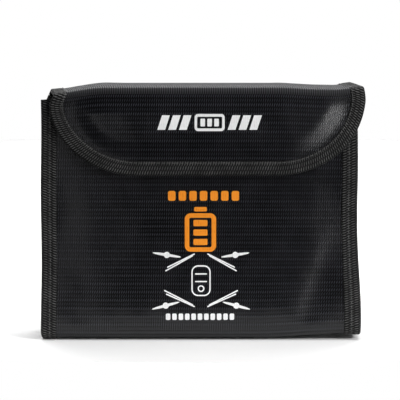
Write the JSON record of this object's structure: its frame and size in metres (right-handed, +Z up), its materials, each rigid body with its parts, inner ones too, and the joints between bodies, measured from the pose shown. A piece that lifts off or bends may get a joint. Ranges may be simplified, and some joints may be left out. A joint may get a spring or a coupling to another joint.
{
  "type": "fire-resistant battery bag",
  "caption": "Black coated-cloth pouch for drone battery packs, with side gussets, bound seams and a fold-over lid whose rounded flap closes on fastener tape.",
  "frame": {"origin": "centre of the closed bag's footprint, on the surface it stands on", "axes": "+Z up through the mouth, +X to the right seen from the front, and the printed front faces -Y"},
  "size_m": [0.2174, 0.0536, 0.1692],
  "materials": {
    "coated_cloth": "ribbed glass-fibre cloth with a semi-gloss black coating",
    "lining_cloth": "plain-woven grey glass-fibre lining, matt",
    "binding_tape": "ribbed woven binding tape, dark grey",
    "fastener_loops": "brushed loop pile, black",
    "fastener_hooks": "moulded hook tape, black",
    "thread": "twisted polyester thread, dark grey",
    "orange_film": "printed film, satin orange",
    "white_film": "printed film, satin white"
  },
  "bodies": {
    "bag": {"front_panel": "coated_cloth", "bottom_panel": "coated_cloth", "back_panel": "coated_cloth", "left_gusset": "coated_cloth", "right_gusset": "coated_cloth", "front_liner": "lining_cloth", "bottom_liner": "lining_cloth", "back_liner": "lining_cloth", "left_gusset_liner": "lining_cloth", "right_gusset_liner": "lining_cloth", "left_seam_binding": "binding_tape", "right_seam_binding": "binding_tape", "mouth_binding": "binding_tape", "left_gusset_binding": "binding_tape", "right_gusset_binding": "binding_tape", "loop_strip": "fastener_loops", "left_seam_thread": "thread", "right_seam_thread": "thread", "mouth_thread": "thread", "header_print": "orange_film", "symbol_print": "orange_film", "drone_print": "white_film", "caption_print": "white_film"},
    "lid": {"lid_panel": "coated_cloth", "lid_liner": "lining_cloth", "left_lid_binding": "binding_tape", "right_lid_binding": "binding_tape", "lid_thread": "thread"},
    "flap": {"flap_panel": "coated_cloth", "flap_liner": "lining_cloth", "flap_binding": "binding_tape", "hook_strip": "fastener_hooks", "flap_thread": "thread", "flap_print": "white_film"}
  },
  "joints": [
    {"name": "lid_fold", "type": "hinge", "parent": "bag", "child": "lid", "pos_m": [0, 0.0254, 0.1679], "axis": [-1, 0, 0], "range_deg": [0, 175]},
    {"name": "flap_fold", "type": "hinge", "parent": "lid", "child": "flap", "pos_m": [0, -0.0254, 0.1679], "axis": [-1, 0, 0], "range_deg": [0, 175]}
  ]
}
